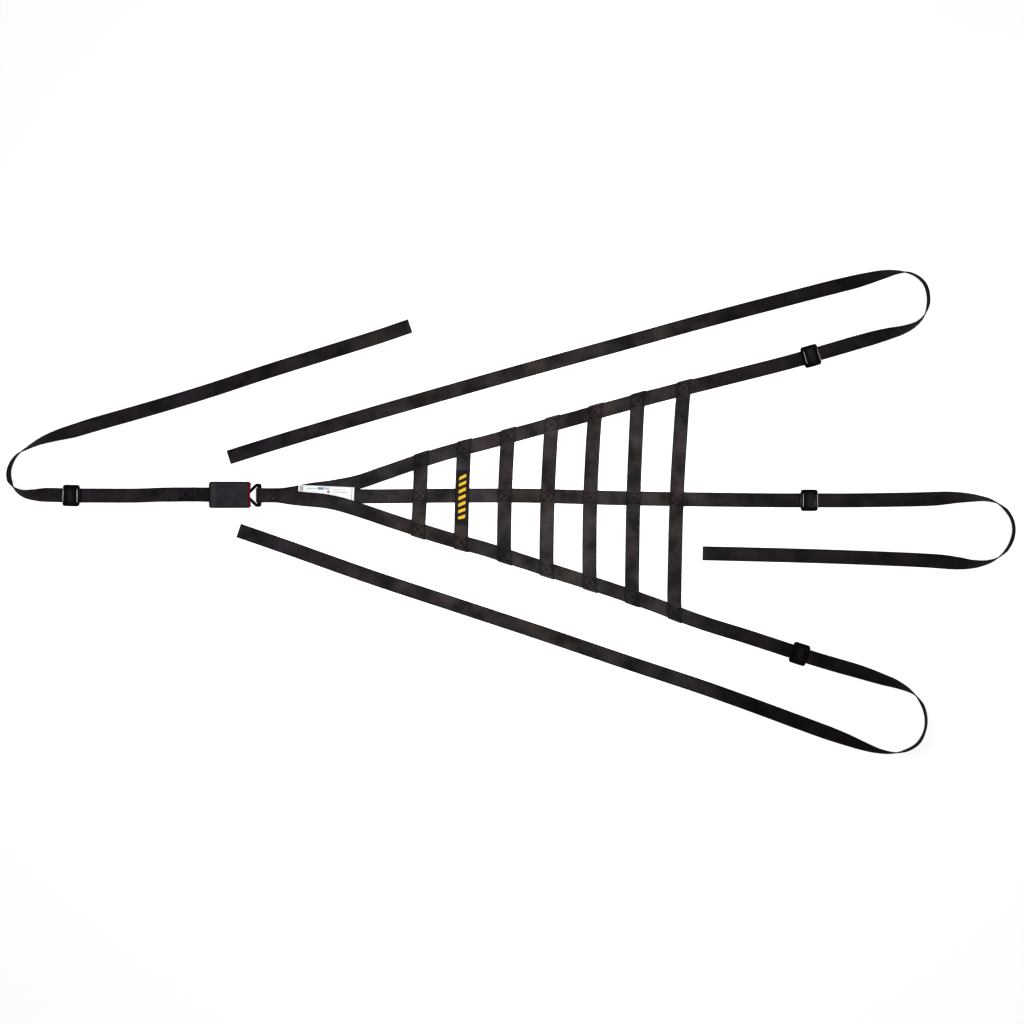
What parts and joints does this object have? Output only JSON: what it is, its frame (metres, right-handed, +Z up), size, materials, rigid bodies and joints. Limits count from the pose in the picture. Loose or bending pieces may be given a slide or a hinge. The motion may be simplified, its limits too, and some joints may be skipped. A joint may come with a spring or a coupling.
{
  "type": "roll cage net",
  "caption": "Triangular ladder net of flat black webbing with a push button buckle at its apex and looped adjusting straps with three-bar slides, laid out flat.",
  "frame": {"origin": "on the floor, under the middle of the laid-out net's length and width", "axes": "+X from the buckle's side to the net's open side, +Y across the net towards its upper edge, +Z up"},
  "size_m": [1.8166, 0.8771, 0.025],
  "materials": {
    "webbing": "woven polyester webbing, near black",
    "badge": "thin woven strip, black with a yellow pattern",
    "label": "woven white label, matt",
    "steel": "black gloss powder coat on steel",
    "housing": "fine grained black moulded plastic",
    "button": "red moulded plastic, satin"
  },
  "bodies": {
    "net": {"edge_webbing": "webbing", "centre_webbing": "webbing", "buckle_webbing": "webbing", "rung_1": "webbing", "rung_2": "webbing", "rung_3": "webbing", "rung_4": "webbing", "rung_5": "webbing", "rung_6": "webbing", "rung_7": "webbing", "badge": "badge", "label": "label", "slide_upper": "steel", "slide_middle": "steel", "slide_lower": "steel", "slide_left": "steel", "latch_tongue": "steel", "buckle_housing": "housing", "anchor_bar": "steel"},
    "button": {"release_button": "button"}
  },
  "joints": [
    {"name": "release_press", "type": "slide", "parent": "net", "child": "button", "axis": [-1, 0, 0], "range_m": [0, 0.005], "stiffness_N_per_m": 800, "springref_m": -0.002}
  ]
}
